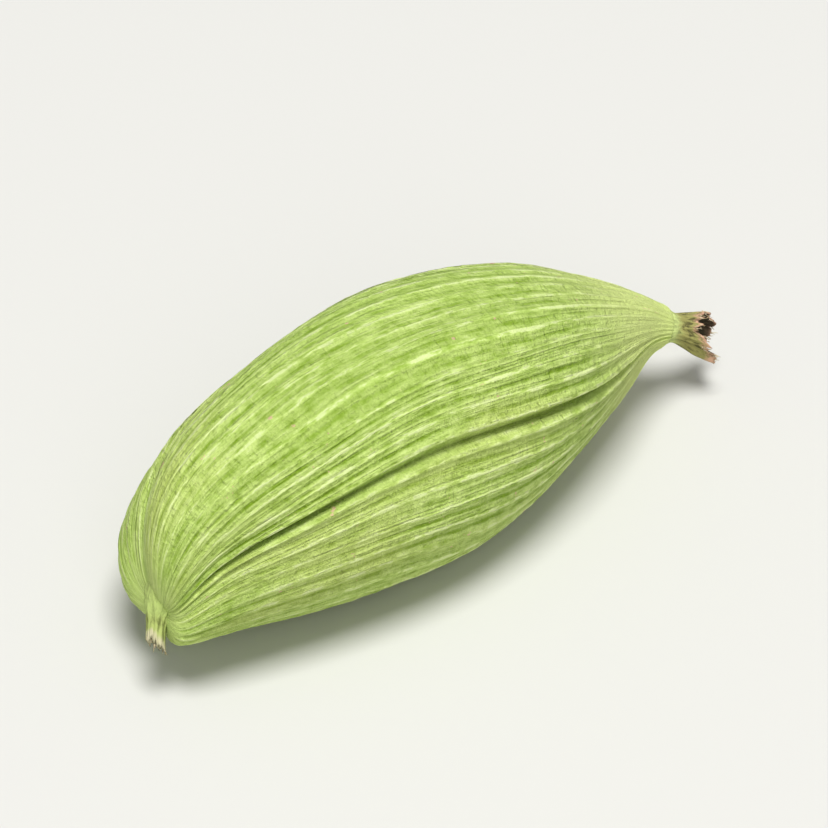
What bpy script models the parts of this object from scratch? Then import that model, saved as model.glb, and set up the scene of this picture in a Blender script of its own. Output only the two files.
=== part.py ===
"""Green cardamom pod: one whole dried fruit, lying on its side on a small flat spot.

Run it with: blender --background --python part.py

The pod is one solid. Its husk has three lobes with a furrow between each two, and fine ribs that run from
end to end. The blunt end at -X has the broken stump of the stalk in a dimple between the lobes. The pointed
end at +X narrows to a neck that carries the dried, open-ended tube of the flower. Both ends droop to one
side of the straight axis. Metres, +Z up, the surface at Z = 0.
"""

import math

import bmesh
import bpy
from mathutils import Vector

MM = 0.001

# Driving dimensions
POD_LENGTH = 20.5 * MM  # along the straight axis, from the stalk stump to the rim of the flower tube
POD_RADIUS = 3.98 * MM  # mean radius at the thickest place
STUMP_RADIUS = 0.32 * MM
NECK_RADIUS = 0.44 * MM
TUBE_LENGTH = 1.15 * MM
TUBE_RIM_RADIUS = 0.72 * MM
TUBE_WALL = 0.2 * MM
DROOP = 2.2 * MM  # how far both ends lie to one side of the straight axis
REST_CUT = 0.22 * MM  # depth of the flat spot below the pod's natural outline

# Where the parts of the outline meet, measured along the pod from the stump's end
HUSK_START = 0.45 * MM
THICKEST_AT = 9.7 * MM
NECK_AT = POD_LENGTH - TUBE_LENGTH
CUP_DEPTH = 0.8 * MM

# Outline of the husk
BASE_FULLNESS = 1.5  # power along the blunt end
BASE_BLUNTNESS = 0.385  # power across the blunt end: less is blunter
NECK_TAPER = 1.95  # power of the narrowing towards the neck
SHOULDER_BLEND = 0.35 * MM  # rounding where the husk narrows into the neck
DROOP_TURN = math.radians(55)  # the plane of the droop, turned up from level
DROOP_POWER_BASE = 10  # the stump droops all at once
DROOP_POWER_NECK = 4  # the neck curves down over a longer way
NECK_LEAN_REACH = 3.0 * MM  # over this length the sections turn square to the drooping line
TWIST = math.radians(32)  # of the ribs round the axis, from the thickest place to the neck

# Lobes
LOBES = 3
LOBE_TOP = math.radians(90)  # one lobe lies uppermost, so that the pod rests across the other two
LOBE_SHARE = 0.045  # of the radius, at the middle
LOBE_SHARE_BASE = 0.11  # more at the stump
LOBE_SHARE_NECK = 0.08  # more at the neck
LOBE_REACH = 2.4 * MM  # how far the deeper lobes at both ends reach along the pod
CHEEK_BULGE = 0.3 * MM  # how far each lobe swells past the stump's root

# Ribs and furrows
RIBS = 39  # an odd multiple of the lobes, so that each furrow lies between two ribs
RIB_HEIGHT = 0.1 * MM
RIB_SHARPNESS = 1.3
RIB_SWAY = math.radians(2.4)
FURROW_DEPTH = 0.14 * MM
FURROW_DEPTH_ENDS = 0.16 * MM  # more near both ends
FURROW_WIDTH = math.radians(4.5)
LIP_RAISE = 0.8  # share by which the two ribs beside a furrow stand higher than the others
REST_FADE_WIDTH = math.radians(30)  # the ribs are worn away round the flat spot
REST_FADE_LENGTH = 4.5 * MM

# Mesh: three sides to a rib
SIDES = 3 * RIBS
BASE_RINGS = 16
NECK_RINGS = 19

HUSK_GREEN = (0.36, 0.50, 0.11, 1.0)
HUSK_ROUGHNESS = 0.62


def smooth(value):
    """0 below 0, 1 above 1, and an even S between."""
    x = min(max(value, 0.0), 1.0)
    return x * x * (3 - 2 * x)


def bell(distance, width):
    return math.exp(-((distance / width) ** 2))


def soft_max(a, b, blend):
    """The larger of two lengths, with their corner rounded over a length of blend."""
    return (a + b + math.sqrt((a - b) ** 2 + blend**2)) / 2


def to_neck(along):
    """0 up to the thickest place, and 1 at the neck."""
    return max(along - THICKEST_AT, 0.0) / (NECK_AT - THICKEST_AT)


def spine(along, lean_share):
    """Centre of the section at this distance from the stump's end, with the section's two directions.

    With a lean share of 0 the section is square to the straight axis, and with 1 to the drooping line.
    """
    share = 2 * along / POD_LENGTH - 1
    power = DROOP_POWER_BASE if share < 0 else DROOP_POWER_NECK
    slope = math.copysign(2 * power * DROOP / POD_LENGTH * abs(share) ** (power - 1), share)
    lean = math.atan(slope) * lean_share
    out = Vector((0, math.cos(DROOP_TURN), math.sin(DROOP_TURN)))
    across = Vector((0, -math.sin(DROOP_TURN), math.cos(DROOP_TURN)))
    ahead = Vector((1, 0, 0))
    centre = ahead * (along - POD_LENGTH / 2) - out * DROOP * abs(share) ** power
    return centre, out * math.cos(lean) + ahead * math.sin(lean), across


def stump_rings():
    """(distance along, radius) of the stump's broken face and side, from its middle out and to its root."""
    return [
        (0.16 * MM, 0.45 * STUMP_RADIUS),
        (0.0, 0.92 * STUMP_RADIUS),
        (0.08 * MM, 1.05 * STUMP_RADIUS),
        (0.5 * MM, 1.05 * STUMP_RADIUS),
        (0.82 * MM, 1.3 * STUMP_RADIUS),
    ]


def husk_rings():
    """(distance along, radius) of the husk from the dimple round the stump to the neck."""
    rings = []
    base_length = THICKEST_AT - HUSK_START
    for i in range(2, BASE_RINGS + 1):
        to_thickest = math.cos(math.pi / 2 * i / BASE_RINGS)
        radius = POD_RADIUS * (1 - to_thickest**BASE_FULLNESS) ** BASE_BLUNTNESS
        rings.append((THICKEST_AT - base_length * to_thickest, radius))
    for i in range(1, NECK_RINGS + 1):
        share = i / NECK_RINGS
        taper = NECK_RADIUS + (POD_RADIUS - NECK_RADIUS) * (1 - share**NECK_TAPER)
        blend = SHOULDER_BLEND * smooth(2 * share - 1)
        radius = soft_max(taper - blend / 2, NECK_RADIUS, blend)
        rings.append((THICKEST_AT + (NECK_AT - THICKEST_AT) * share, radius))
    return rings


def tube_rings():
    """(distance along, radius) of the flower tube: up its outside, over the rim and down into the cup."""
    rim_inner = TUBE_RIM_RADIUS - TUBE_WALL
    outside = [
        (NECK_AT + 0.35 * TUBE_LENGTH, NECK_RADIUS * 1.12),
        (NECK_AT + 0.72 * TUBE_LENGTH, TUBE_RIM_RADIUS * 0.97),
        (POD_LENGTH - 0.05 * MM, TUBE_RIM_RADIUS),
    ]
    inside = [
        (POD_LENGTH, rim_inner + 0.6 * TUBE_WALL),
        (POD_LENGTH - 0.1 * MM, rim_inner),
        (POD_LENGTH - 0.55 * CUP_DEPTH, 0.72 * rim_inner),
        (POD_LENGTH - 0.95 * CUP_DEPTH, 0.45 * rim_inner),
    ]
    return outside + inside


def lobe_wave(angle):
    """1 on the middle of a lobe and -1 on a furrow."""
    return math.cos(LOBES * (angle - LOBE_TOP))


def furrow_distance(angle):
    """Angle to the nearest furrow."""
    return math.acos(max(-1.0, min(1.0, -lobe_wave(angle)))) / LOBES


def rib_relief(angle, along):
    """Height of the ribs over the mean surface. No two ribs stand equally high, and each rises and sinks."""
    crest = ((1 + math.cos(RIBS * (angle - LOBE_TOP))) / 2) ** RIB_SHARPNESS
    unevenness = 1 + 0.3 * math.sin(7 * angle + 0.9) + 0.22 * math.sin(16 * angle + 320 * along + 2.1)
    lip = LIP_RAISE * bell(furrow_distance(angle) - math.pi / RIBS, FURROW_WIDTH)
    return RIB_HEIGHT * (unevenness + lip) * (crest - 0.4)


def worn_at_rest(angle, along):
    """0 over the flat spot that the pod lies on, and 1 away from it."""
    from_bottom = math.remainder(angle + math.pi / 2, 2 * math.pi)
    near = bell(from_bottom, REST_FADE_WIDTH) * bell(along - THICKEST_AT, REST_FADE_LENGTH)
    return 1 - smooth(1.5 * near)


def husk_point(along, radius, angle):
    """Point of the husk's surface: a circle with its lobes, furrow and ribs, set on the drooping spine."""
    near_base = bell(along - HUSK_START, LOBE_REACH)
    near_neck = bell(NECK_AT - along, LOBE_REACH)
    lobes = LOBE_SHARE + LOBE_SHARE_BASE * near_base + LOBE_SHARE_NECK * near_neck
    swelling = 1 + lobes * lobe_wave(angle) + 0.012 * math.sin(2 * angle + 260 * along)
    fullness = smooth(radius / (0.5 * POD_RADIUS))
    furrow = FURROW_DEPTH + FURROW_DEPTH_ENDS * max(near_base, near_neck)
    furrow *= bell(furrow_distance(angle), FURROW_WIDTH)
    relief = (rib_relief(angle, along) - furrow) * worn_at_rest(angle, along)
    relief *= (0.2 + 0.8 * fullness) * smooth(radius / NECK_RADIUS - 0.9)
    cheek = CHEEK_BULGE * bell(radius - 0.42 * POD_RADIUS, 0.3 * POD_RADIUS) * (1 + lobe_wave(angle)) / 2
    if along > THICKEST_AT:
        cheek = 0.0
    sway = RIB_SWAY * math.sin(3 * angle + 330 * along) * fullness
    centre, out, across = spine(along, smooth(1 - (NECK_AT - along) / NECK_LEAN_REACH))
    centre.x -= cheek
    turned = angle + sway + TWIST * smooth(to_neck(along)) - DROOP_TURN
    reach = radius * swelling + relief
    return centre + reach * (math.cos(turned) * out + math.sin(turned) * across)


def end_point(along, radius, angle, raggedness):
    """Point of the stump or the flower tube, whose broken rim is uneven by up to raggedness."""
    slanted = 0.5 * math.sin(angle + 1.1)
    torn = 0.3 * math.sin(3 * angle + 0.4) + 0.2 * math.sin(7 * angle + 2.0)
    centre, out, across = spine(along + raggedness * (slanted + torn), 1.0)
    turned = angle + TWIST * smooth(to_neck(along)) - DROOP_TURN
    reach = radius * (1 + 0.05 * lobe_wave(angle))
    return centre + reach * (math.cos(turned) * out + math.sin(turned) * across)


def ring_points():
    """For each ring from the stump's face to the bottom of the cup, the function that gives its points."""
    rings = []
    for along, radius in stump_rings():
        ragged = 0.12 * MM * smooth(1 - along / (0.3 * MM))
        rings.append(lambda angle, a=along, r=radius, g=ragged: end_point(a, r, angle, g))
    for along, radius in husk_rings():
        rings.append(lambda angle, a=along, r=radius: husk_point(a, r, angle))
    for along, radius in tube_rings():
        ragged = 0.2 * MM * smooth(1 - (POD_LENGTH - along) / (0.7 * TUBE_LENGTH))
        rings.append(lambda angle, a=along, r=radius, g=ragged: end_point(a, r, angle, g))
    return rings


def pod_form():
    """The pod's closed surface: a sphere whose rings of latitude are set out along the pod."""
    rings = ring_points()
    rows = len(rings) + 1
    form = bmesh.new()
    bmesh.ops.create_uvsphere(form, u_segments=SIDES, v_segments=rows, radius=1.0)
    for vertex in form.verts:
        row = round(math.acos(max(-1.0, min(1.0, -vertex.co.z))) * rows / math.pi)
        angle = LOBE_TOP + math.atan2(vertex.co.y, vertex.co.x)
        if row == 0:
            vertex.co = spine(0.2 * MM, 1.0)[0]
        elif row == rows:
            vertex.co = spine(POD_LENGTH - CUP_DEPTH, 1.0)[0]
        else:
            vertex.co = rings[row - 1](angle)
    return form


def flatten_rest_spot(form):
    """Presses the underside flat where the pod lies, and sets that flat spot at Z = 0."""
    lowest = min(vertex.co.z for vertex in form.verts)
    level = lowest + REST_CUT
    for vertex in form.verts:
        vertex.co.z = max(vertex.co.z, level) - level


def centre_on_footprint(form):
    """Moves the pod so that the middle of its box stands over the origin."""
    for axis in (0, 1):
        places = [vertex.co[axis] for vertex in form.verts]
        middle = (min(places) + max(places)) / 2
        for vertex in form.verts:
            vertex.co[axis] -= middle


def husk_material():
    material = bpy.data.materials.new("husk")
    material.use_nodes = True
    shader = material.node_tree.nodes["Principled BSDF"]
    shader.inputs["Base Color"].default_value = HUSK_GREEN
    shader.inputs["Roughness"].default_value = HUSK_ROUGHNESS
    shader.inputs["Metallic"].default_value = 0.0
    return material


for item in list(bpy.data.objects):
    bpy.data.objects.remove(item)

pod_surface = pod_form()
flatten_rest_spot(pod_surface)
centre_on_footprint(pod_surface)

pod_mesh = bpy.data.meshes.new("cardamom_pod")
pod_surface.to_mesh(pod_mesh)
pod_surface.free()
pod_mesh.shade_smooth()
pod_mesh.materials.append(husk_material())

pod_collection = bpy.data.collections.new("green_cardamom_pod")
bpy.context.scene.collection.children.link(pod_collection)
pod_collection.objects.link(bpy.data.objects.new("cardamom_pod", pod_mesh))
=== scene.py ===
"""Looks of one whole dried green cardamom pod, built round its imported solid.

The sections follow the fruit from its skin to its two ends: husk, flower tube, stalk stump and torn fibres.
The floor, the light and the camera come last. Metres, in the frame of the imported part.
"""

import math

import bmesh
import bpy
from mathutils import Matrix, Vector, noise


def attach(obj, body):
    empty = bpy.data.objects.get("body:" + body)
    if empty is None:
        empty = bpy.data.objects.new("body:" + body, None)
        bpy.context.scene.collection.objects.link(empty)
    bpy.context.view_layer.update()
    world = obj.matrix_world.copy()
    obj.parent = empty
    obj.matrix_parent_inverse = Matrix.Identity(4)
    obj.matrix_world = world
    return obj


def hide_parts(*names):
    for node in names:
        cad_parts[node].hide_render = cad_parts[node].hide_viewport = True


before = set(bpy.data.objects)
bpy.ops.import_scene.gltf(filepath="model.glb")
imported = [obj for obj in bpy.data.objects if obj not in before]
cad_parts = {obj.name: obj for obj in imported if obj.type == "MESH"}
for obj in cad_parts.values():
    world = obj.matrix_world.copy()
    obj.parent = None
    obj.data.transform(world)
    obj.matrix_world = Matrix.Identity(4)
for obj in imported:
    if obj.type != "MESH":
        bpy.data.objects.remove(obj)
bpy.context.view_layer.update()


# The husk. It is the dried, papery skin of the fruit, in three lobes with a furrow between each two, a vein
# under each rib and a dimple round the stalk. It grew as one piece, so it is one closed skin here, laid out
# ring by ring along the pod's middle line, which droops at both ends, and dried unevenly by noise.
MM = 0.001
MIDDLE = Vector((-0.137, -0.027, 3.562)) * MM  # where the middle of the pod's straight axis lies
POD_LENGTH = 20.5 * MM
POD_RADIUS = 3.98 * MM  # mean radius at the thickest place
NECK_RADIUS = 0.44 * MM

# The rings, measured along the pod from the stump's end
HUSK_START = 0.45 * MM
THICKEST_AT = 9.7 * MM
NECK_AT = 19.35 * MM
HUSK_ROWS = 268
BASE_ROW_SHARE = 0.55  # of the rings, on the blunt side of the thickest place
END_ROWS = 3  # the last rings round off the neck's end, inside the flower tube
BASE_FULLNESS = 1.5  # power along the blunt end
BASE_BLUNTNESS = 0.385  # power across the blunt end: less is blunter
NECK_TAPER = 1.95  # power of the narrowing towards the neck
SHOULDER_BLEND = 0.35 * MM  # rounding where the husk narrows into the neck
FULL_RADIUS = 0.5 * POD_RADIUS  # from here on the pod is full, and its relief stands out

# The droop of the middle line, and the turning of the ribs round it
DROOP = 2.2 * MM  # how far both ends lie to one side of the straight axis
DROOP_TURN = math.radians(55)  # the plane of the droop, turned up from level
DROOP_POWER_BASE = 10  # the stump droops all at once
DROOP_POWER_NECK = 4  # the neck curves down over a longer way
NECK_LEAN_REACH = 3.0 * MM  # over this length the rings turn square to the drooping line
TWIST = math.radians(27)  # of the ribs round the axis, up to the neck
TWIST_FROM = 6.0 * MM
BASE_TWIST = math.radians(8)
SWAY = math.radians(2.4)  # of the lobes to both sides
SWAY_PITCH = 330  # radians of the sway's wave in a metre of pod

# The lobes, and the dimple between them
LOBES = 3
LOBE_TOP = math.radians(90)  # one lobe lies uppermost
LOBE_SHARE = 0.045  # of the radius, at the middle
LOBE_SHARE_BASE = 0.11  # more at the stump
LOBE_SHARE_NECK = 0.08  # more at the neck
LOBE_REACH = 2.4 * MM  # how far the deeper lobes at both ends reach along the pod
LOBE_FADE = 1.2 * MM  # the neck's last stretch, where the lobes run out
OVAL_SHARE = 0.012  # of the radius, by which the rings are out of round
OVAL_PITCH = 260  # radians of the oval's turn in a metre of pod
CHEEK_BULGE = 0.3 * MM  # how far each lobe swells past the stump's root
CHEEK_AT = 0.42 * POD_RADIUS
CHEEK_WIDTH = 0.3 * POD_RADIUS
DIMPLE_DEPTH = 0.12 * MM
DIMPLE_WIDTH = 0.75 * MM
BASE_REACH = 6  # the cheeks and the dimple fade in over the first sixth of the way to the base

# The ribs and the furrows
RIBS = 39  # an odd multiple of the lobes, so that each furrow lies between two ribs
HUSK_SIDES = 9 * RIBS  # nine sides to a rib
RIB_ROUNDING = 0.03  # of the crest
RIB_SHARPNESS = 1.2
RIB_FOOT = 0.25  # share of a rib's height that lies below the mean skin
RIB_WANDER = math.radians(11)  # how far the ribs stray, together with the furrows
FURROW_WIDTH = math.radians(2.6)
FURROW_SIDE_WIDTH = math.radians(17)  # the ribs within this angle of a furrow stand higher
JUST_INSIDE = 0.9999  # keeps a cosine off 1, so that the furrows have no edge in their bottom
REST_FADE_WIDTH = math.radians(30)  # the ribs are worn away round the flat spot
REST_FADE_LENGTH = 4.5 * MM

HUSK_SIZES = {
    "Rib height": 0.1 * MM,
    "Lip height": 0.1 * MM,
    "Furrow depth": 0.2 * MM,
    "Furrow depth at the ends": 0.12 * MM,
    "Streak height": 0.07 * MM,
    "Wrinkle height": 0.06 * MM,
    "Dent depth": 0.3 * MM,
}


def pick(sockets, key):
    """The socket with this number, or the one in use with this name."""
    if isinstance(key, int):
        return sockets[key]
    return next(s for s in sockets if s.enabled and s.name == key)


class Socket:
    """An output in a node tree. Arithmetic on it adds Math nodes to the tree."""

    def __init__(self, tree, socket=None):
        self.tree = tree
        self.socket = socket

    def add(self, kind, settings=None, inputs=None, output=None):
        """Adds a node of this kind: first its settings, then the values or links of its sockets."""
        node = self.tree.nodes.new(kind)
        for name, value in (settings or {}).items():
            setattr(node, name, value)
        for key, value in (inputs or {}).items():
            target = pick(node.inputs, key)
            if isinstance(value, Socket):
                self.tree.links.new(value.socket, target)
            else:
                target.default_value = value
        if output is None:
            return Socket(self.tree, next((s for s in node.outputs if s.enabled), None))
        return Socket(self.tree, pick(node.outputs, output))

    def math(self, operation, *others):
        return self.add("ShaderNodeMath", {"operation": operation}, dict(enumerate((self, *others))))

    def __add__(self, other):
        return self.math("ADD", other)

    def __mul__(self, other):
        return self.math("MULTIPLY", other)

    def __sub__(self, other):
        return self.math("SUBTRACT", other)

    def __truediv__(self, other):
        return self.math("DIVIDE", other)

    def __pow__(self, other):
        return self.math("POWER", other)

    def __rsub__(self, other):
        return self * -1 + other

    __radd__ = __add__
    __rmul__ = __mul__

    def smooth(self, low=0.0, high=1.0):
        """0 up to low, 1 from high, and an even S between."""
        inputs = {"Value": self, "From Min": low, "From Max": high}
        return self.add("ShaderNodeMapRange", {"interpolation_type": "SMOOTHSTEP"}, inputs)

    def bell(self, width):
        """1 at 0, falling to nothing past this width on both sides."""
        share = self / width
        return (share * share * -1).math("EXPONENT")

    def part(self, axis):
        """The X, Y or Z of this vector."""
        return self.add("ShaderNodeSeparateXYZ", inputs={"Vector": self}, output=axis)

    def vector(self, x, y, z):
        return self.add("ShaderNodeCombineXYZ", inputs={"X": x, "Y": y, "Z": z})

    def stretched(self, x, y, z):
        """This vector with its coordinates multiplied by x, y and z."""
        return self.add("ShaderNodeVectorMath", {"operation": "MULTIPLY"}, {0: self, 1: (x, y, z)})

    def noise(self, size, detail=2.0, roughness=0.5):
        """Noise at this vector, from 0 to 1, with features of about this size."""
        inputs = {"Vector": self, "Scale": 1 / size, "Detail": detail, "Roughness": roughness}
        return self.add("ShaderNodeTexNoise", inputs=inputs)

    def colours(self, low, high):
        """Mixes two colours by this socket's value."""
        return self.add("ShaderNodeMix", {"data_type": "RGBA"}, {"Factor": self, "A": low, "B": high})

    def mark(self, name, output="Fac"):
        """What the mesh keeps under this name, as its material reads it."""
        return self.add("ShaderNodeAttribute", {"attribute_name": name}, output=output)


def form_tree(name, sizes):
    """A Geometry Nodes tree with a named input for each size. Returns it with the sockets of those inputs."""
    tree = bpy.data.node_groups.new(name, "GeometryNodeTree")
    tree.interface.new_socket("Geometry", in_out="OUTPUT", socket_type="NodeSocketGeometry")
    kinds = {float: "NodeSocketFloat", Vector: "NodeSocketVector", bpy.types.Object: "NodeSocketObject"}
    for size_name, value in sizes.items():
        tree.interface.new_socket(size_name, in_out="INPUT", socket_type=kinds[type(value)])
    given = tree.nodes.new("NodeGroupInput").outputs
    return tree, {size_name: Socket(tree, given[size_name]) for size_name in sizes}


def finish_tree(form, material):
    """Ends a tree: its instances made real, and its material set."""
    real = form.add("GeometryNodeRealizeInstances", inputs={"Geometry": form})
    painted = form.add("GeometryNodeSetMaterial", inputs={"Geometry": real, "Material": material})
    form.add("NodeGroupOutput", inputs={"Geometry": painted})


def set_out(name, data):
    """A new object in the scene, with this mesh, lamp or camera."""
    item = bpy.data.objects.new(name, data)
    bpy.context.scene.collection.objects.link(item)
    return item


def grown(name, tree, sizes):
    """A plain mesh object made by a Geometry Nodes tree with these sizes."""
    seed = set_out(name + "_tree", bpy.data.meshes.new(name + "_tree"))
    modifier = seed.modifiers.new("form", "NODES")
    modifier.node_group = tree
    for item in tree.interface.items_tree:
        if item.in_out == "INPUT":
            modifier[item.identifier] = sizes[item.name]
    evaluated = seed.evaluated_get(bpy.context.evaluated_depsgraph_get())
    mesh = bpy.data.meshes.new_from_object(evaluated)
    bpy.data.objects.remove(seed)
    mesh.shade_smooth()
    return set_out(name, mesh)


def husk_outline(row):
    """A ring's place along the pod, its radius and how far it is from the thickest place towards the base."""
    share = row / HUSK_ROWS
    to_thickest = ((share / BASE_ROW_SHARE).math("MINIMUM", 1.0) * (math.pi / 2)).math("COSINE")
    to_thickest = to_thickest.math("MAXIMUM", 0.0)
    to_neck = ((share - BASE_ROW_SHARE) / (1 - BASE_ROW_SHARE)).math("MAXIMUM", 0.0)
    along = THICKEST_AT - (THICKEST_AT - HUSK_START) * to_thickest + (NECK_AT - THICKEST_AT) * to_neck
    base_share = (1 - to_thickest**BASE_FULLNESS) ** BASE_BLUNTNESS
    taper = NECK_RADIUS + (POD_RADIUS - NECK_RADIUS) * (1 - to_neck**NECK_TAPER)
    blend = SHOULDER_BLEND * to_neck.smooth(0.5, 1.0)
    difference = taper - blend / 2 - NECK_RADIUS
    corner = (difference * difference + blend * blend).math("SQRT")
    radius = base_share * (taper - blend / 2 + NECK_RADIUS + corner) / 2
    from_end = 1 - ((HUSK_ROWS - row) / END_ROWS).math("MINIMUM", 1.0)
    return along, radius * (1 - from_end * from_end).math("SQRT"), to_thickest


def skin_place(angle, along):
    """Where a point would lie on a straight, round pod. What is read there follows the skin."""
    return angle.vector(angle.math("COSINE") * POD_RADIUS, angle.math("SINE") * POD_RADIUS, along)


def to_furrow(angle):
    """The angle from here to the nearest furrow."""
    return ((angle * LOBES).math("COSINE") * -JUST_INSIDE).math("ARCCOSINE") / LOBES


def husk_ridges(size, grain, wandered, near_ends):
    """The ribs less the furrows, and how strongly the rib stands out here."""
    from_crest = ((1 + RIB_ROUNDING - (wandered * RIBS).math("COSINE")) / 2).math("SQRT")
    crest = (1 - from_crest).math("MAXIMUM", 0.0) ** RIB_SHARPNESS
    strength = grain.stretched(1, 1, 0.1).noise(0.75 * MM, detail=1.0).smooth(0.36, 0.72)
    fading = grain.stretched(1, 1, 0.5).noise(1.6 * MM).smooth(0.3, 0.65)
    furrow_distance = to_furrow(wandered)
    lip = (furrow_distance - math.pi / RIBS).bell(FURROW_WIDTH)
    beside_furrow = furrow_distance.bell(FURROW_SIDE_WIDTH)

    # Shares of the full height: what each rib has, what comes and goes along it, and more beside a furrow.
    height = size["Rib height"] * (0.45 + strength * (0.25 + 0.4 * fading) + 0.35 * beside_furrow)
    ribs = (height + size["Lip height"] * lip) * (crest - RIB_FOOT)
    furrow = size["Furrow depth"] + size["Furrow depth at the ends"] * near_ends
    return ribs - furrow * furrow_distance.bell(FURROW_WIDTH), strength


def husk_drying(size, grain):
    """Wide dents, and the fine streaks along the skin with the wrinkles across it."""
    streaks = grain.stretched(1, 1, 0.045).noise(0.3 * MM, roughness=0.55) - 0.5
    wrinkles = grain.stretched(0.5, 0.5, 1).noise(0.4 * MM, detail=3.0) - 0.5
    dents = grain.stretched(1, 1, 0.5).noise(3.2 * MM, detail=1.0) - 0.5
    return dents * size["Dent depth"], streaks * size["Streak height"] + wrinkles * size["Wrinkle height"]


def husk_place(along, shifted, reach, angle):
    """The point of a ring at this distance from the drooping middle line, at this angle.

    The ring lies at along. The cheeks and the dimple have moved the point to shifted.
    """
    from_middle = along * (2 / POD_LENGTH) - 1
    neckwards = from_middle.math("GREATER_THAN", 0.0)
    power = DROOP_POWER_BASE + (DROOP_POWER_NECK - DROOP_POWER_BASE) * neckwards
    from_middle = from_middle.math("ABSOLUTE")
    droop = DROOP * from_middle**power
    slope = 2 * DROOP / POD_LENGTH * power * from_middle ** (power - 1)
    lean = slope.math("ARCTANGENT") * (1 - (NECK_AT - along) / NECK_LEAN_REACH).smooth()
    spread = reach * angle.math("COSINE")
    ahead = shifted - POD_LENGTH / 2 + spread * lean.math("SINE")
    out = spread * lean.math("COSINE") - droop
    across = reach * angle.math("SINE")
    y = out * math.cos(DROOP_TURN) - across * math.sin(DROOP_TURN) + MIDDLE.y
    z = out * math.sin(DROOP_TURN) + across * math.cos(DROOP_TURN) + MIDDLE.z
    return along.vector(ahead + MIDDLE.x, y, z.math("MAXIMUM", 0.0))


def husk_tree(material):
    """A ball whose rings are laid out along the pod, with what its finish reads kept on the mesh."""
    tree, size = form_tree("husk", HUSK_SIZES)
    start = Socket(tree)
    inputs = {"Segments": HUSK_SIDES, "Rings": HUSK_ROWS, "Radius": 1.0}
    ball = start.add("GeometryNodeMeshUVSphere", inputs=inputs)
    index = start.add("GeometryNodeInputIndex")
    row = (index / HUSK_SIDES).math("CEIL")
    side = index - 1 - (row - 1) * HUSK_SIDES
    angle = LOBE_TOP - side * (2 * math.pi / HUSK_SIDES)
    along, radius, to_thickest = husk_outline(row)

    grain = skin_place(angle, along)
    near_base = (along - HUSK_START).bell(LOBE_REACH)
    near_neck = (NECK_AT - along).bell(LOBE_REACH)
    fullness = (radius / FULL_RADIUS).smooth()
    at_base = (to_thickest * BASE_REACH).smooth()
    lobe_wave = ((angle - LOBE_TOP) * LOBES).math("COSINE")

    # The ribs and the furrows wander together, so that a furrow always lies between two ribs.
    wander = (grain.stretched(1, 1, 0.3).noise(2.4 * MM, detail=1.0) - 0.5) * RIB_WANDER * fullness
    wandered = angle - LOBE_TOP + wander
    ridges, strength = husk_ridges(size, grain, wandered, near_base.math("MAXIMUM", near_neck))

    # They are worn away where the pod lies, and all of the relief runs out inside the flower tube.
    from_bottom = (angle + math.pi / 2).math("WRAP", math.pi, -math.pi)
    near_rest = from_bottom.bell(REST_FADE_WIDTH) * (along - THICKEST_AT).bell(REST_FADE_LENGTH)
    away_from_rest = 1 - (near_rest * 1.5).smooth()
    dents, fine = husk_drying(size, grain)
    relief = ridges * away_from_rest * (0.25 + 0.75 * fullness) + dents * fullness
    relief = relief + fine * (0.3 + 0.7 * fullness)
    relief = relief * (radius / NECK_RADIUS).smooth(0.5, 1.2)

    # The lobes, cheeks and dimple shape the rings, and the sway and the twist turn them.
    lobes = LOBE_SHARE + LOBE_SHARE_BASE * near_base + LOBE_SHARE_NECK * near_neck
    lobes = lobes * ((NECK_AT - along) / LOBE_FADE).smooth()
    swelling = 1 + lobes * lobe_wave + OVAL_SHARE * (angle * 2 + along * OVAL_PITCH).math("SINE")
    cheek = (radius - CHEEK_AT).bell(CHEEK_WIDTH) * (lobe_wave + 1) / 2 * CHEEK_BULGE * at_base
    dimple = radius.bell(DIMPLE_WIDTH) * DIMPLE_DEPTH * at_base
    sway = (angle * LOBES + along * SWAY_PITCH).math("SINE") * fullness * SWAY
    twist = TWIST * along.smooth(TWIST_FROM, NECK_AT) + BASE_TWIST * to_thickest * to_thickest
    turned = angle + sway + twist - DROOP_TURN
    place = husk_place(along, along - cheek + dimple, radius * swelling + relief, turned)
    form = start.add("GeometryNodeSetPosition", inputs={"Geometry": ball, "Position": place})
    kept = {
        "grain": ("FLOAT_VECTOR", skin_place(wandered, along)),
        "strength": ("FLOAT", (0.4 + 0.6 * strength) * away_from_rest * fullness),
        "girth": ("FLOAT", radius / POD_RADIUS),
    }
    for name, (kind, value) in kept.items():
        inputs = {"Geometry": form, "Name": name, "Value": value}
        form = start.add("GeometryNodeStoreNamedAttribute", {"data_type": kind}, inputs)
    finish_tree(form, material)
    return tree


def srgb(red, green, blue):
    """A colour given by its screen values from 0 to 255, as the shader takes it."""
    shares = [value / 255 for value in (red, green, blue)]
    return (*[s / 12.92 if s < 0.04045 else ((s + 0.055) / 1.055) ** 2.4 for s in shares], 1.0)


# The deepest green is also painted shade, in the valleys between the ribs.
SHADE_AND_DEEP_GREEN = srgb(131, 166, 32)
RIB_GREEN = srgb(213, 236, 136)
STRAW_PATCH = srgb(212, 220, 128)
GREEN_PATCH = srgb(166, 198, 84)
# The fleck colour is partly pale marks of the skin, partly a painted highlight on the rib crests.
FLECK_AND_HIGHLIGHT = srgb(230, 240, 178)
# The furrow's colour is painted shade along the bottom of each furrow.
FURROW_SHADE = srgb(108, 132, 36)
NECK_GREEN = srgb(226, 240, 150)
BASE_GREEN = srgb(200, 218, 132)
PALE_SCAR = srgb(228, 190, 158)
DARK_SCAR = srgb(112, 122, 50)
EVEN_SKIN = 1.93  # what the patterns in the skin come to on average
# The green of the valleys is partly painted shade.
SKIN_PALENESS = 0.63  # 0 for the green of the valleys, 1 for that of the ribs
HUSK_ROUGHNESS = 0.74
HUSK_GLOSS = 0.22


def new_paint(name):
    """A material, with a socket to start its tree from."""
    material = bpy.data.materials.new(name)
    material.use_nodes = True
    return material, Socket(material.node_tree)


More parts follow.
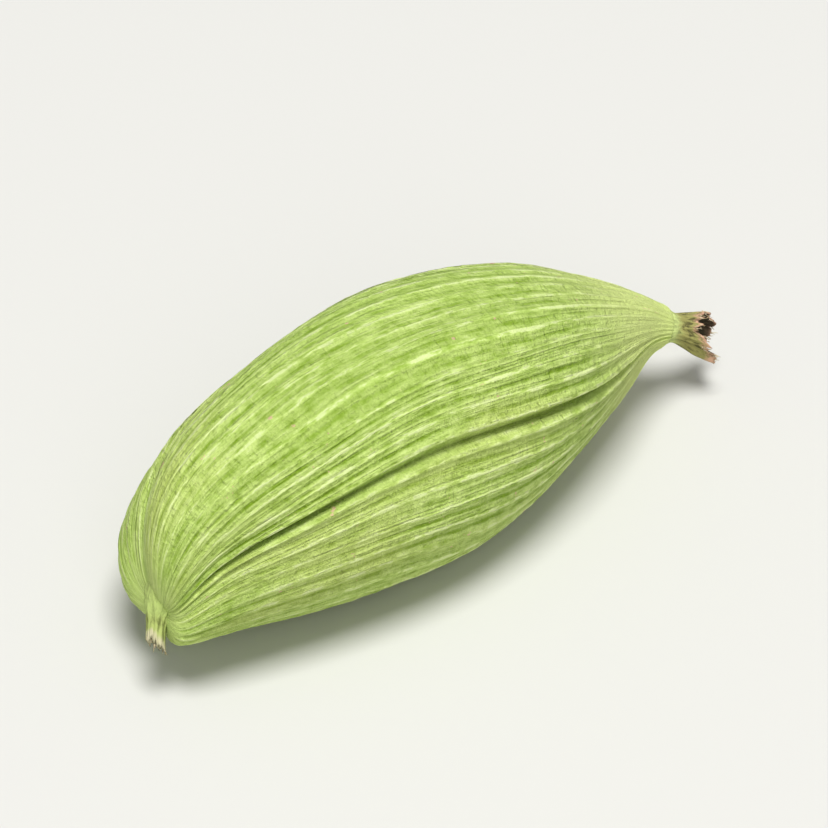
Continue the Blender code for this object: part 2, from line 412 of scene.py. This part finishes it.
def finish_paint(material, gloss, colour, roughness, bump=None):
    """Ends a material: how much it shines, and what varies over it."""
    shader = material.node_tree.nodes["Principled BSDF"]
    shader.inputs["Specular IOR Level"].default_value = gloss
    for name, value in {"Base Color": colour, "Roughness": roughness, "Normal": bump}.items():
        if value:
            material.node_tree.links.new(value.socket, shader.inputs[name])
    return material


def husk_finish():
    """The skin: green with painted shade between ribs, pale and flecked on them, paler at both ends."""
    material, start = new_paint("husk")
    grain = start.mark("grain", "Vector")
    strength = start.mark("strength")
    girth = start.mark("girth")
    place = start.add("ShaderNodeTexCoord", output="Object")
    along = grain.part("Z")
    neck_side = along.smooth(THICKEST_AT - 2 * MM, THICKEST_AT + 2 * MM)

    # What follows the ribs: crests, valleys, furrows, and finer veins that come and go.
    angle = grain.part("Y").math("ARCTAN2", grain.part("X"))
    rib_wave = (angle * RIBS).math("COSINE")
    crest = rib_wave.smooth(0.55, 1.0) * strength
    valley_shade = rib_wave.smooth(-0.6, -1.0) * strength
    furrow = to_furrow(angle).bell(math.radians(1.7)) * girth.smooth(0.1, 0.3)
    shallows = grain.stretched(1, 1, 0.2).noise(0.9 * MM, detail=1.0)
    vein_wave = (angle * (3 * RIBS) + shallows * 9).math("COSINE")
    veins = vein_wave.smooth(0.0, 1.0) * shallows.smooth(0.4, 0.62)

    # What drying left in the skin, drawn out along it, across it or neither.
    fibres = grain.stretched(1, 1, 0.04).noise(0.13 * MM, detail=3.0, roughness=0.6)
    streaks = grain.stretched(1, 1, 0.27).noise(0.19 * MM, detail=4.0, roughness=0.7)
    mottle = place.noise(0.38 * MM, detail=4.0, roughness=0.65)
    patches = grain.stretched(1, 1, 0.4).noise(3.0 * MM)
    crepe = grain.stretched(0.35, 0.35, 1).noise(0.13 * MM, detail=4.0, roughness=0.65)
    specks = grain.stretched(1, 1, 0.8).noise(0.42 * MM, detail=3.0, roughness=0.6)
    grit = place.noise(0.07 * MM, detail=3.0, roughness=0.6)

    # The colours, each laid over those before it by what shows it.
    unevenness = 1.9 * streaks + 0.65 * fibres + 0.8 * mottle + 0.5 * crepe - EVEN_SKIN
    # The flecks along the rib crests are partly the skin's own pale marks and partly a painted highlight.
    crest_flecks_and_highlight = crest * streaks.smooth(0.38, 0.62)
    # Painted shade: paleness falls in the valleys between the ribs.
    paleness = SKIN_PALENESS + unevenness + 0.55 * crest_flecks_and_highlight + 0.15 * veins - 0.42 * valley_shade
    colour = paleness.smooth(-0.1, 1.1).colours(SHADE_AND_DEEP_GREEN, RIB_GREEN)
    colour = (patches.smooth(0.5, 0.75) * 0.35).colours(colour, STRAW_PATCH)
    colour = (patches.smooth(0.5, 0.28) * 0.3).colours(colour, GREEN_PATCH)
    # The palest flecks: pale marks of the skin, and where they lie on the crests partly a painted highlight.
    colour = ((paleness + crest_flecks_and_highlight * 0.4).smooth(0.8, 1.4) * 0.6).colours(colour, FLECK_AND_HIGHLIGHT)
    # Painted shade: a darker green along the bottom of each furrow.
    colour = (furrow * 0.5).colours(colour, FURROW_SHADE)
    frayed = girth + (fibres - 0.5) * 0.25 + (mottle - 0.5) * 0.2
    colour = (frayed.smooth(0.85, 0.35) * neck_side * 0.85).colours(colour, NECK_GREEN)
    colour = (frayed.smooth(0.35, 0.12) * (1 - neck_side) * 0.6).colours(colour, BASE_GREEN)
    colour = (specks.smooth(0.69, 0.72) * 0.8).colours(colour, PALE_SCAR)
    colour = (specks.smooth(0.3, 0.27) * 0.5).colours(colour, DARK_SCAR)

    # The fine relief, in millimetres. It is lower towards both ends, where the grain lies closer.
    relief = 0.05 * crest + 0.03 * veins + 0.11 * fibres + 0.07 * streaks - 0.05 * furrow
    relief = relief + 0.19 * crepe * (1.1 - crest) + 0.035 * grit
    relief = relief * (0.15 + 0.85 * girth.smooth(0.0, 0.7))
    bump = start.add("ShaderNodeBump", inputs={"Strength": 1.0, "Distance": MM, "Height": relief})
    roughness = HUSK_ROUGHNESS - crest * 0.08 + (mottle - 0.5) * 0.25
    return finish_paint(material, HUSK_GLOSS, colour, roughness, bump)


husk = grown("husk", husk_tree(husk_finish()), HUSK_SIZES)
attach(husk, "root")
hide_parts("cardamom_pod")


# The flower tube. It is what is left of the flower, dried on the pod's point: a short, thin, crumpled collar
# of dead tissue, torn down on its near side, straw-brown outside, with painted shade darkening its hollow.
# It grew out of the neck, so its root runs down inside the husk.
TUBE_LENGTH = 1.45 * MM
TUBE_RADIUS = 0.68 * MM
TUBE_ROOT = 0.45 * MM  # how far it runs down inside the husk
TUBE_ROOT_RADIUS = 0.97 * NECK_RADIUS
TUBE_FOOT = 0.26 * MM  # how far the root widens
TUBE_FOOT_AT = 0.2 * MM  # above the neck, from where it widens downwards
TUBE_FOOT_POWER = 1.2
TUBE_WALL = 0.12 * MM
TUBE_WALL_AT_RIM = 0.3  # share of the wall
TUBE_WALL_GROWTH = 1.2  # share of the wall by which it thickens down to the cup's floor
TUBE_CUP = 0.8 * MM
TUBE_CUP_POWER = 0.8
TUBE_FLARE_FROM = 0.05 * TUBE_LENGTH
TUBE_FLARE_TO = 0.8 * TUBE_LENGTH
TUBE_SIDES = 144
TUBE_ROWS = 40
TUBE_OUTER_ROWS = 22  # the others line the cup
TUBE_CRUMPLE = 0.08 * MM
TUBE_TORN_AT = math.radians(120)
TUBE_TORN_SHARE = 0.55  # of the length, gone where the tear is deepest
TUBE_RAGGED_SHARE = 0.3  # of the length, by which the rim is uneven
RAGS_ON_AVERAGE = 0.3
TUBE_RIM_FROM = 0.93 * TUBE_LENGTH  # the torn fibres stand above this height
DRY_ROUGHNESS = 0.75
DRY_GLOSS = 0.25


def on_middle_line(along, reach, angle):
    """The point at this distance along the pod and this far from its drooping middle line, at this angle."""
    from_middle = 2 * along / POD_LENGTH - 1
    power = DROOP_POWER_BASE if from_middle < 0 else DROOP_POWER_NECK
    slope = math.copysign(2 * DROOP / POD_LENGTH * power * abs(from_middle) ** (power - 1), from_middle)
    lean = math.atan(slope)
    spread = reach * math.cos(angle - DROOP_TURN)
    ahead = along - POD_LENGTH / 2 + spread * math.sin(lean)
    out = spread * math.cos(lean) - DROOP * abs(from_middle) ** power
    across = reach * math.sin(angle - DROOP_TURN)
    y = out * math.cos(DROOP_TURN) - across * math.sin(DROOP_TURN)
    z = out * math.sin(DROOP_TURN) + across * math.cos(DROOP_TURN)
    return MIDDLE + Vector((ahead, y, z))


def smooth_step(value, low=0.0, high=1.0):
    """0 up to low, 1 from high, and an even S between."""
    x = min(max((value - low) / (high - low), 0.0), 1.0)
    return x * x * (3 - 2 * x)


def folds(point, waves, start):
    """Noise about 0 at a point, with this many waves to a unit. The start keeps each use apart."""
    return noise.noise(point * waves + Vector(start))


def ringed(name, sides, rows, point, marks, material):
    """A closed piece of rings. point(row, angle) gives a point, and marks(row, angle) its attributes."""
    form = bmesh.new()
    layers = {"grain": form.verts.layers.float_vector.new("grain")}
    for mark in ("tip", "hollow", "torn"):
        layers[mark] = form.verts.layers.float.new(mark)
    rings = []
    for row in range(rows + 1):
        count = 1 if row in (0, rows) else sides
        ring = []
        for side in range(count):
            angle = 2 * math.pi * side / sides
            vertex = form.verts.new(point(row, angle))
            for mark, value in marks(row, angle).items():
                vertex[layers[mark]] = value
            ring.append(vertex)
        rings.append(ring)
    for lower, upper in zip(rings, rings[1:]):
        for side in range(sides):
            corners = [lower[side % len(lower)], lower[(side + 1) % len(lower)]]
            corners += [upper[(side + 1) % len(upper)], upper[side % len(upper)]]
            form.faces.new(list(dict.fromkeys(corners)))
    bmesh.ops.recalc_face_normals(form, faces=form.faces)
    mesh = bpy.data.meshes.new(name)
    form.to_mesh(mesh)
    form.free()
    mesh.shade_smooth()
    mesh.materials.append(material)
    return set_out(name, mesh)


def tube_outline(row):
    """Height above the neck, inset of the wall, share of the width, and how far a ring lies in the hollow.

    The rings run up the outside, over the rim and down into the cup.
    """
    if row <= TUBE_OUTER_ROWS:
        share = row / TUBE_OUTER_ROWS
        return -TUBE_ROOT + (TUBE_LENGTH + TUBE_ROOT) * share, 0.0, math.sqrt(min(1.0, 6 * share)), 0.0
    share = (row - TUBE_OUTER_ROWS) / (TUBE_ROWS - TUBE_OUTER_ROWS)
    height = TUBE_LENGTH - TUBE_CUP * smooth_step(share) ** TUBE_CUP_POWER
    wall = TUBE_WALL * (TUBE_WALL_AT_RIM + TUBE_WALL_GROWTH * smooth_step(share, 0.0, 0.9))
    return height, wall, math.sqrt(1 - share**5), smooth_step(share, 0.0, 0.14)


def tube_point(row, angle):
    """A point of the tube: its outline torn down, flared, pleated and crumpled."""
    height, inset, width, _ = tube_outline(row)
    around = Vector((math.cos(angle), math.sin(angle), 0))
    standing = 1 - TUBE_TORN_SHARE * smooth_step(0.5 + 0.5 * math.cos(angle - TUBE_TORN_AT), 0.35, 1.0)
    torn = abs(folds(around, 2.3, (6.3, 1.1, 0)))
    torn += 0.7 * abs(folds(around, 8.0, (2.2, 4.4, 0)))
    standing += TUBE_RAGGED_SHARE * (RAGS_ON_AVERAGE - torn)
    stands = max(height, 0.0) * standing
    flare = smooth_step(stands, TUBE_FLARE_FROM, TUBE_FLARE_TO)
    foot = smooth_step(TUBE_FOOT_AT - min(height, stands), 0.0, TUBE_ROOT + TUBE_FOOT_AT)
    foot = TUBE_FOOT * foot**TUBE_FOOT_POWER
    radius = (TUBE_ROOT_RADIUS + (TUBE_RADIUS - NECK_RADIUS) * flare + foot - inset) * width

    # The pleats run up the tube, and the crumples across it.
    up = stands / TUBE_LENGTH
    pleats = folds(around, 3.2, (3.1, 0.7, up * 0.5))
    pleats += 0.6 * folds(around, 7.5, (0.4, 5.2, up * 0.9))
    crumples = folds(around, 4.0, (1.7, 8.1, up * 4.0))
    crumpling = TUBE_CRUMPLE * smooth_step(up, -0.1, 0.5) * min(1.0, radius / NECK_RADIUS)
    reach = radius + (pleats + 0.5 * crumples) * crumpling
    return on_middle_line(NECK_AT + min(height, stands), max(reach, 0.0), angle)


def tube_marks(row, angle):
    """What the finish reads at this point, and whether torn fibres may stand there."""
    height, _, _, hollow = tube_outline(row)
    grain = Vector((math.cos(angle) * TUBE_RADIUS, math.sin(angle) * TUBE_RADIUS, NECK_AT + height))
    at_rim = float(height > TUBE_RIM_FROM)
    return {"grain": grain, "tip": height / TUBE_LENGTH, "hollow": hollow, "torn": at_rim}


def dry_finish(name, at_root, at_body, at_tip, dark):
    """Dead plant tissue: fibrous, matte, from root colour to tip colour, with painted shade in its hollow."""
    material, start = new_paint(name)
    grain = start.mark("grain", "Vector")
    tip = start.mark("tip")
    hollow = start.mark("hollow")
    fibres = grain.stretched(1, 1, 0.1).noise(0.09 * MM, detail=3.0, roughness=0.6)
    stains = grain.noise(0.3 * MM, detail=4.0, roughness=0.65)
    colour = (tip + (fibres - 0.5) * 0.7).smooth(-0.1, 0.35).colours(at_root, at_body)
    colour = (tip + (stains - 0.5) * 0.7).smooth(0.72, 1.0).colours(colour, at_tip)
    darkness = (fibres * 0.5 + stains * 0.6).smooth(0.59, 0.44) * (0.35 + 0.4 * tip.smooth(0.0, 0.25))
    colour = darkness.colours(colour, dark)
    # Painted shade: the hollow of the cup is darkened towards the dark colour.
    colour = (hollow * 0.9).colours(colour, dark)
    relief = fibres + stains * 0.7
    bump = start.add("ShaderNodeBump", inputs={"Strength": 0.9, "Distance": 0.05 * MM, "Height": relief})
    return finish_paint(material, DRY_GLOSS, colour, DRY_ROUGHNESS + stains * 0.25, bump)


tube_paint = dry_finish(
    "dry_flower",
    at_root=srgb(212, 228, 142),
    at_body=srgb(160, 156, 92),
    at_tip=srgb(216, 172, 142),
    # the dark of the stains, and the painted shade in the hollow
    dark=srgb(38, 32, 18),
)
flower_tube = ringed("flower_tube", TUBE_SIDES, TUBE_ROWS, tube_point, tube_marks, tube_paint)
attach(flower_tube, "root")
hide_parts("cardamom_pod")


# The stalk stump. It is the broken end of the short stalk that held the fruit: a fibrous peg, still green on
# its side, that hangs out of the dimple between the three lobes. Its face is pitted and torn, and its root is
# sunk in the husk.
STUMP_RADIUS = 0.27 * MM
STUMP_ROOT = 1.1 * MM
STUMP_SPREAD = 0.9  # share of the radius by which the root widens
STUMP_HOLLOW = 0.1 * MM  # how far the middle of the face is sunk below its rim
STUMP_SIDES = 96
STUMP_ROWS = 30
STUMP_FACE_ROWS = 10
STUMP_ROUGHNESS = 0.05 * MM
STUMP_TEAR = 0.2 * MM
STUMP_SLANT = 0.35  # of the tear, to one side
STUMP_SLANT_AT = 0.6  # radians round the stump


def stump_outline(row):
    """(distance along the pod, radius, how far out on the torn face) of a ring, from the face to the root."""
    if row <= STUMP_FACE_ROWS:
        share = row / STUMP_FACE_ROWS
        return STUMP_HOLLOW * (1 - share**3), STUMP_RADIUS * share, 1.0
    share = (row - STUMP_FACE_ROWS) / (STUMP_ROWS - STUMP_FACE_ROWS)
    spread = 1 + STUMP_SPREAD * smooth_step(share, 0.2, 0.85)
    return STUMP_ROOT * share, STUMP_RADIUS * spread * math.sqrt(max(0.0, 1 - share**12)), 1 - share


def stump_point(row, angle):
    """A point of the stump: its outline pitted and torn on the face, and fibrous on the side."""
    along, radius, tip = stump_outline(row)
    around = Vector((math.cos(angle), math.sin(angle), 0)) * radius / STUMP_RADIUS
    pits = folds(around, 3.0, (0.3, 0.9, 4.0)) + 0.6 * folds(around, 8.0, (0, 0, 0))
    strands = folds(around, 5.0, (2.0, 7.0, along / (1.5 * MM)))
    strands += 0.5 * folds(around, 12.0, (4.0, 1.0, along / (1.0 * MM)))
    slant = STUMP_SLANT * math.cos(angle - STUMP_SLANT_AT) * radius / STUMP_RADIUS
    along += STUMP_TEAR * (0.5 * pits + slant) * smooth_step(tip, 0.6, 1.0)
    reach = radius + strands * STUMP_ROUGHNESS * min(1.0, radius / (0.5 * STUMP_RADIUS))
    return on_middle_line(along, max(reach, 0.0), angle)


def stump_marks(row, angle):
    """What the finish reads at this point, and whether torn fibres may stand there."""
    along, radius, tip = stump_outline(row)
    grain = Vector((math.cos(angle) * radius, math.sin(angle) * radius, along))
    on_face = float(tip == 1.0 and radius > 0.2 * STUMP_RADIUS)
    return {"grain": grain, "tip": smooth_step(tip, 0.55, 1.0), "hollow": 0.0, "torn": on_face}


stump_paint = dry_finish(
    "dry_stalk",
    at_root=srgb(190, 210, 122),
    at_body=srgb(178, 192, 110),
    at_tip=srgb(206, 200, 160),
    dark=srgb(88, 92, 40),
)
stalk_stump = ringed("stalk_stump", STUMP_SIDES, STUMP_ROWS, stump_point, stump_marks, stump_paint)
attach(stalk_stump, "root")
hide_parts("cardamom_pod")


# The torn fibres. They are the ends of the strands that ran through the stalk and the flower, left standing
# where each broke off: stiff, pale and thinner than a hair. They stand on the torn face and on the torn rim,
# with their roots in the tissue.
FIBRE_SIDES = 5
FIBRE_JOINTS = 4
FIBRE_POINT = 0.35  # radius at the tip, as a share of the root's
FIBRE_SUNK = 0.25  # share of the length that is in the tissue
FIBRE_SHORTEST = 0.35  # as a share of the longest
FIBRE_BEND = 0.2 * MM
FIBRE_ROUGHNESS = 0.7
FIBRE_GLOSS = 0.5
FIBRE_DARK = srgb(150, 128, 84)
FIBRE_PALE = srgb(216, 202, 168)


def end_way(along, ahead):
    """The direction of the middle line here: towards the flower with ahead 1, towards the stalk with -1."""
    return (on_middle_line(along + ahead * MM, 0.0, 0.0) - on_middle_line(along, 0.0, 0.0)).normalized()


TUBE_FIBRES = {
    "Host": flower_tube,
    "Way": end_way(NECK_AT, 1),
    "Share": 0.1,
    "Fibre length": 0.24 * MM,
    "Fibre radius": 0.018 * MM,
    "Lean": 0.45,
}
STUMP_FIBRES = TUBE_FIBRES | {"Host": stalk_stump, "Way": end_way(0.0, -1), "Share": 0.05}


def fibre_tree(name, seed, material):
    """Thin, leaning cones on a share of the points that the host piece keeps as torn."""
    tree, size = form_tree(name, TUBE_FIBRES)
    start = Socket(tree)

    def drawn(kind, low, high, number):
        """A random value at each point. The number keeps each draw apart."""
        inputs = {"Min": low, "Max": high, "Seed": seed + number}
        return start.add("FunctionNodeRandomValue", {"data_type": kind}, inputs)

    host = start.add("GeometryNodeObjectInfo", inputs={"Object": size["Host"]}, output="Geometry")
    torn = start.add("GeometryNodeInputNamedAttribute", {"data_type": "FLOAT"}, {"Name": "torn"}, "Attribute")
    chosen = drawn("FLOAT", 0.0, 1.0, 1).math("LESS_THAN", torn * size["Share"])
    fibre = start.add("GeometryNodeMeshCone", output="Mesh", inputs={
        "Vertices": FIBRE_SIDES,
        "Side Segments": FIBRE_JOINTS,
        "Radius Bottom": size["Fibre radius"],
        "Radius Top": size["Fibre radius"] * FIBRE_POINT,
        "Depth": size["Fibre length"],
    })
    sunk = start.vector(0.0, 0.0, size["Fibre length"] * -FIBRE_SUNK)
    fibre = start.add("GeometryNodeSetPosition", inputs={"Geometry": fibre, "Offset": sunk})
    scatter = drawn("FLOAT_VECTOR", (-1.0, -1.0, -1.0), (1.0, 1.0, 1.0), 2)
    leaning = start.add("ShaderNodeVectorMath", {"operation": "SCALE"}, {0: scatter, "Scale": size["Lean"]})
    way = start.add("ShaderNodeVectorMath", {"operation": "ADD"}, {0: size["Way"], 1: leaning})
    turned = start.add("FunctionNodeAlignRotationToVector", {"axis": "Z"}, {"Vector": way})
    scale = start.vector(1.0, 1.0, drawn("FLOAT", FIBRE_SHORTEST, 1.0, 3))
    inputs = {"Points": host, "Selection": chosen, "Instance": fibre, "Rotation": turned, "Scale": scale}
    tuft = start.add("GeometryNodeInstanceOnPoints", inputs=inputs)
    real = start.add("GeometryNodeRealizeInstances", inputs={"Geometry": tuft})
    place = start.add("GeometryNodeInputPosition")
    bent_x = place.noise(0.3 * MM, detail=1.0) - 0.5
    bent_y = place.noise(0.35 * MM, detail=1.0) - 0.5
    bent = start.vector(bent_x, bent_y, 0.0).stretched(FIBRE_BEND, FIBRE_BEND, 0.0)
    form = start.add("GeometryNodeSetPosition", inputs={"Geometry": real, "Offset": bent})
    finish_tree(form, material)
    return tree


def fibre_finish():
    """A bare dried strand, straw-pale with darker stains."""
    material, start = new_paint("torn_fibre")
    stains = start.add("ShaderNodeTexCoord", output="Object").noise(0.12 * MM)
    colour = stains.smooth(0.35, 0.65).colours(FIBRE_DARK, FIBRE_PALE)
    return finish_paint(material, FIBRE_GLOSS, colour, FIBRE_ROUGHNESS + stains * 0.2)


fibre_paint = fibre_finish()
tube_tree = fibre_tree("tube_fibres", seed=11, material=fibre_paint)
stump_tree = fibre_tree("stump_fibres", seed=3, material=fibre_paint)
tube_fibres = grown("tube_fibres", tube_tree, TUBE_FIBRES)
stump_fibres = grown("stump_fibres", stump_tree, STUMP_FIBRES)
for fibres in (stump_fibres, tube_fibres):
    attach(fibres, "root")
    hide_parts("cardamom_pod")


# The floor, a plain pale board.
FLOOR_REACH = 1.5  # to each side
FLOOR_COLOUR = srgb(214, 213, 208)
FLOOR_ROUGHNESS = 0.85
floor_mesh = bpy.data.meshes.new("floor")
floor_form = bmesh.new()
bmesh.ops.create_grid(floor_form, x_segments=1, y_segments=1, size=FLOOR_REACH)
floor_form.to_mesh(floor_mesh)
floor_form.free()
floor_paint = bpy.data.materials.new("floor_paint")
floor_paint.use_nodes = True
floor_shader = floor_paint.node_tree.nodes["Principled BSDF"]
floor_shader.inputs["Base Color"].default_value = FLOOR_COLOUR
floor_shader.inputs["Roughness"].default_value = FLOOR_ROUGHNESS
floor_mesh.materials.append(floor_paint)
floor = set_out("floor", floor_mesh)


# The light: a wide soft lamp high over the pod, a weak one from the side, and a pale room.
POD_MIDDLE = Vector((0, 0, 3.6)) * MM
KEY_PLACE = Vector((-0.03, -0.06, 0.45))
FILL_PLACE = Vector((-0.2, -0.35, 0.3))
ROOM_COLOUR = (0.97, 0.98, 1.0, 1.0)
ROOM_STRENGTH = 0.3


def soft_lamp(name, place, width, watts):
    """A round lamp of this width that shines on the pod."""
    lamp = bpy.data.lights.new(name, "AREA")
    lamp.shape = "DISK"
    lamp.size = width
    lamp.energy = watts
    item = set_out(name, lamp)
    item.location = place
    item.rotation_euler = (POD_MIDDLE - place).to_track_quat("-Z", "Y").to_euler()


soft_lamp("key_lamp", KEY_PLACE, width=0.22, watts=2.1)
soft_lamp("fill_lamp", FILL_PLACE, width=0.3, watts=0.35)
room = bpy.data.worlds.new("room")
room.use_nodes = True
room.node_tree.nodes["Background"].inputs["Color"].default_value = ROOM_COLOUR
room.node_tree.nodes["Background"].inputs["Strength"].default_value = ROOM_STRENGTH
bpy.context.scene.world = room
bpy.context.scene.view_settings.view_transform = "Standard"


# The camera, looking down on the pod from its stalk end, through a long lens.
AZIMUTH = math.radians(-39.5)
ELEVATION = math.radians(42)
LENS = 300
SENSOR = 36
FRAME_WIDTH = 23.6 * MM  # what the picture shows across, at the pod
camera_data = bpy.data.cameras.new("camera")
camera_data.lens = LENS
camera_data.sensor_width = SENSOR
camera_data.clip_start = 0.01
camera_data.clip_end = 10.0
camera = set_out("camera", camera_data)
back = Vector((
    math.sin(AZIMUTH) * math.cos(ELEVATION),
    -math.cos(AZIMUTH) * math.cos(ELEVATION),
    math.sin(ELEVATION),
))
camera.location = POD_MIDDLE + back * (FRAME_WIDTH * LENS / SENSOR)
camera.rotation_euler = (-back).to_track_quat("-Z", "Y").to_euler()
bpy.context.scene.camera = camera
